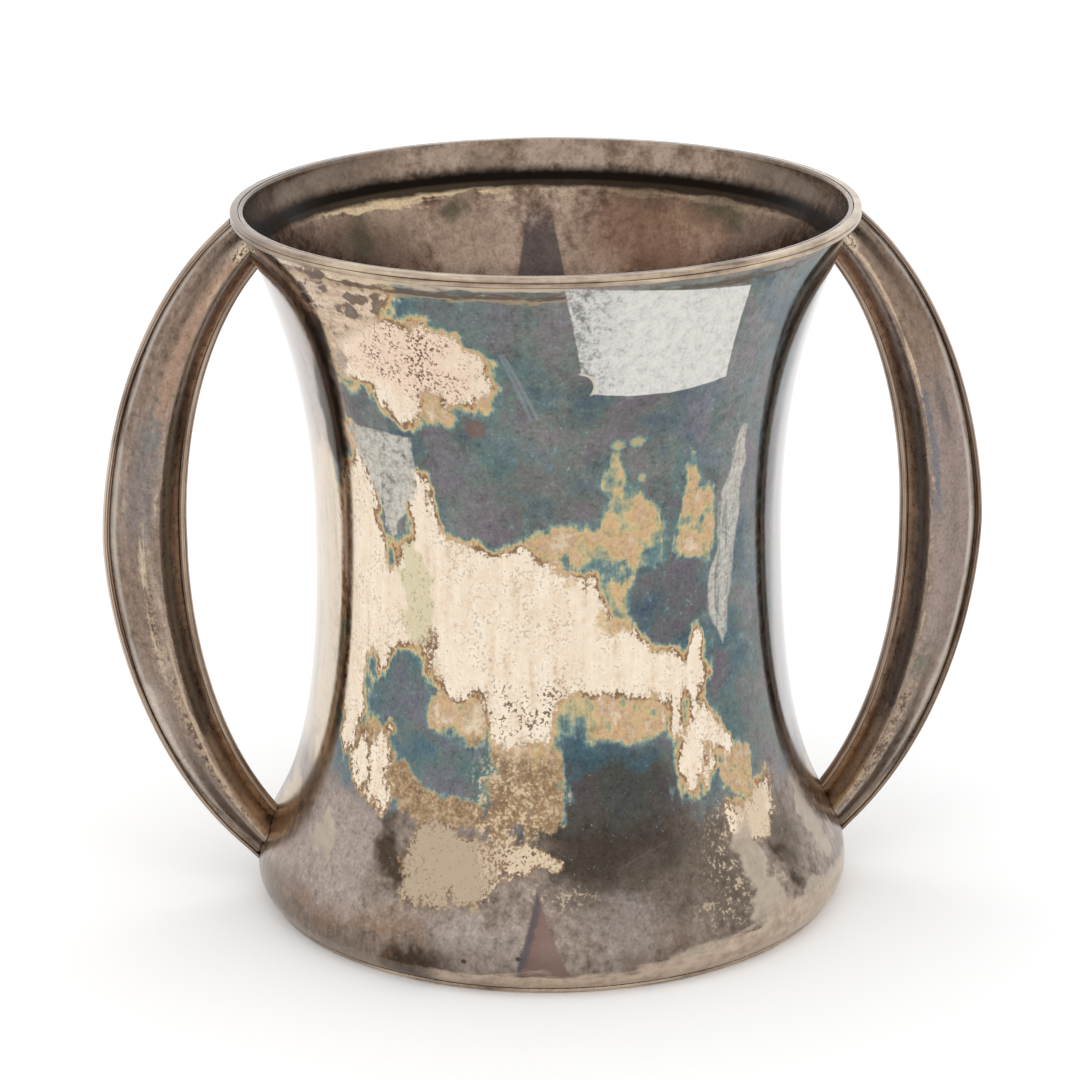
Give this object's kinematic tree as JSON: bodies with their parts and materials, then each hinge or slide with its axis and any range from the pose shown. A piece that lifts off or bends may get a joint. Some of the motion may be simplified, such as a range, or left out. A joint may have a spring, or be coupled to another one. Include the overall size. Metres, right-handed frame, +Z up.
{
  "type": "presentation cup",
  "caption": "Silver presentation cup with a waisted body, a reeded wire round the flared rim, a rolled base and bowed hollow handles.",
  "frame": {"origin": "middle of the foot's underside, on the table, below the middle of the bounding box", "axes": "+Z up along the body's axis, X through both handles, -Y towards the front, which the picture shows"},
  "size_m": [0.2184, 0.152, 0.1755],
  "materials": {
    "body_silver": "polished silver, tarnished in patches",
    "rim_silver": "silver worn pale by handling",
    "foot_silver": "silver worn pale by handling",
    "plate_silver": "darkly tarnished silver",
    "handle_silver": "polished silver, tarnished brown with worn crests"
  },
  "bodies": {
    "root": {"body_shell": "body_silver", "rim_wire": "rim_silver", "foot_ring": "foot_silver", "bottom_plate": "plate_silver", "handle_left_front_half": "handle_silver", "handle_left_back_half": "handle_silver", "handle_right_front_half": "handle_silver", "handle_right_back_half": "handle_silver"}
  },
  "joints": []
}
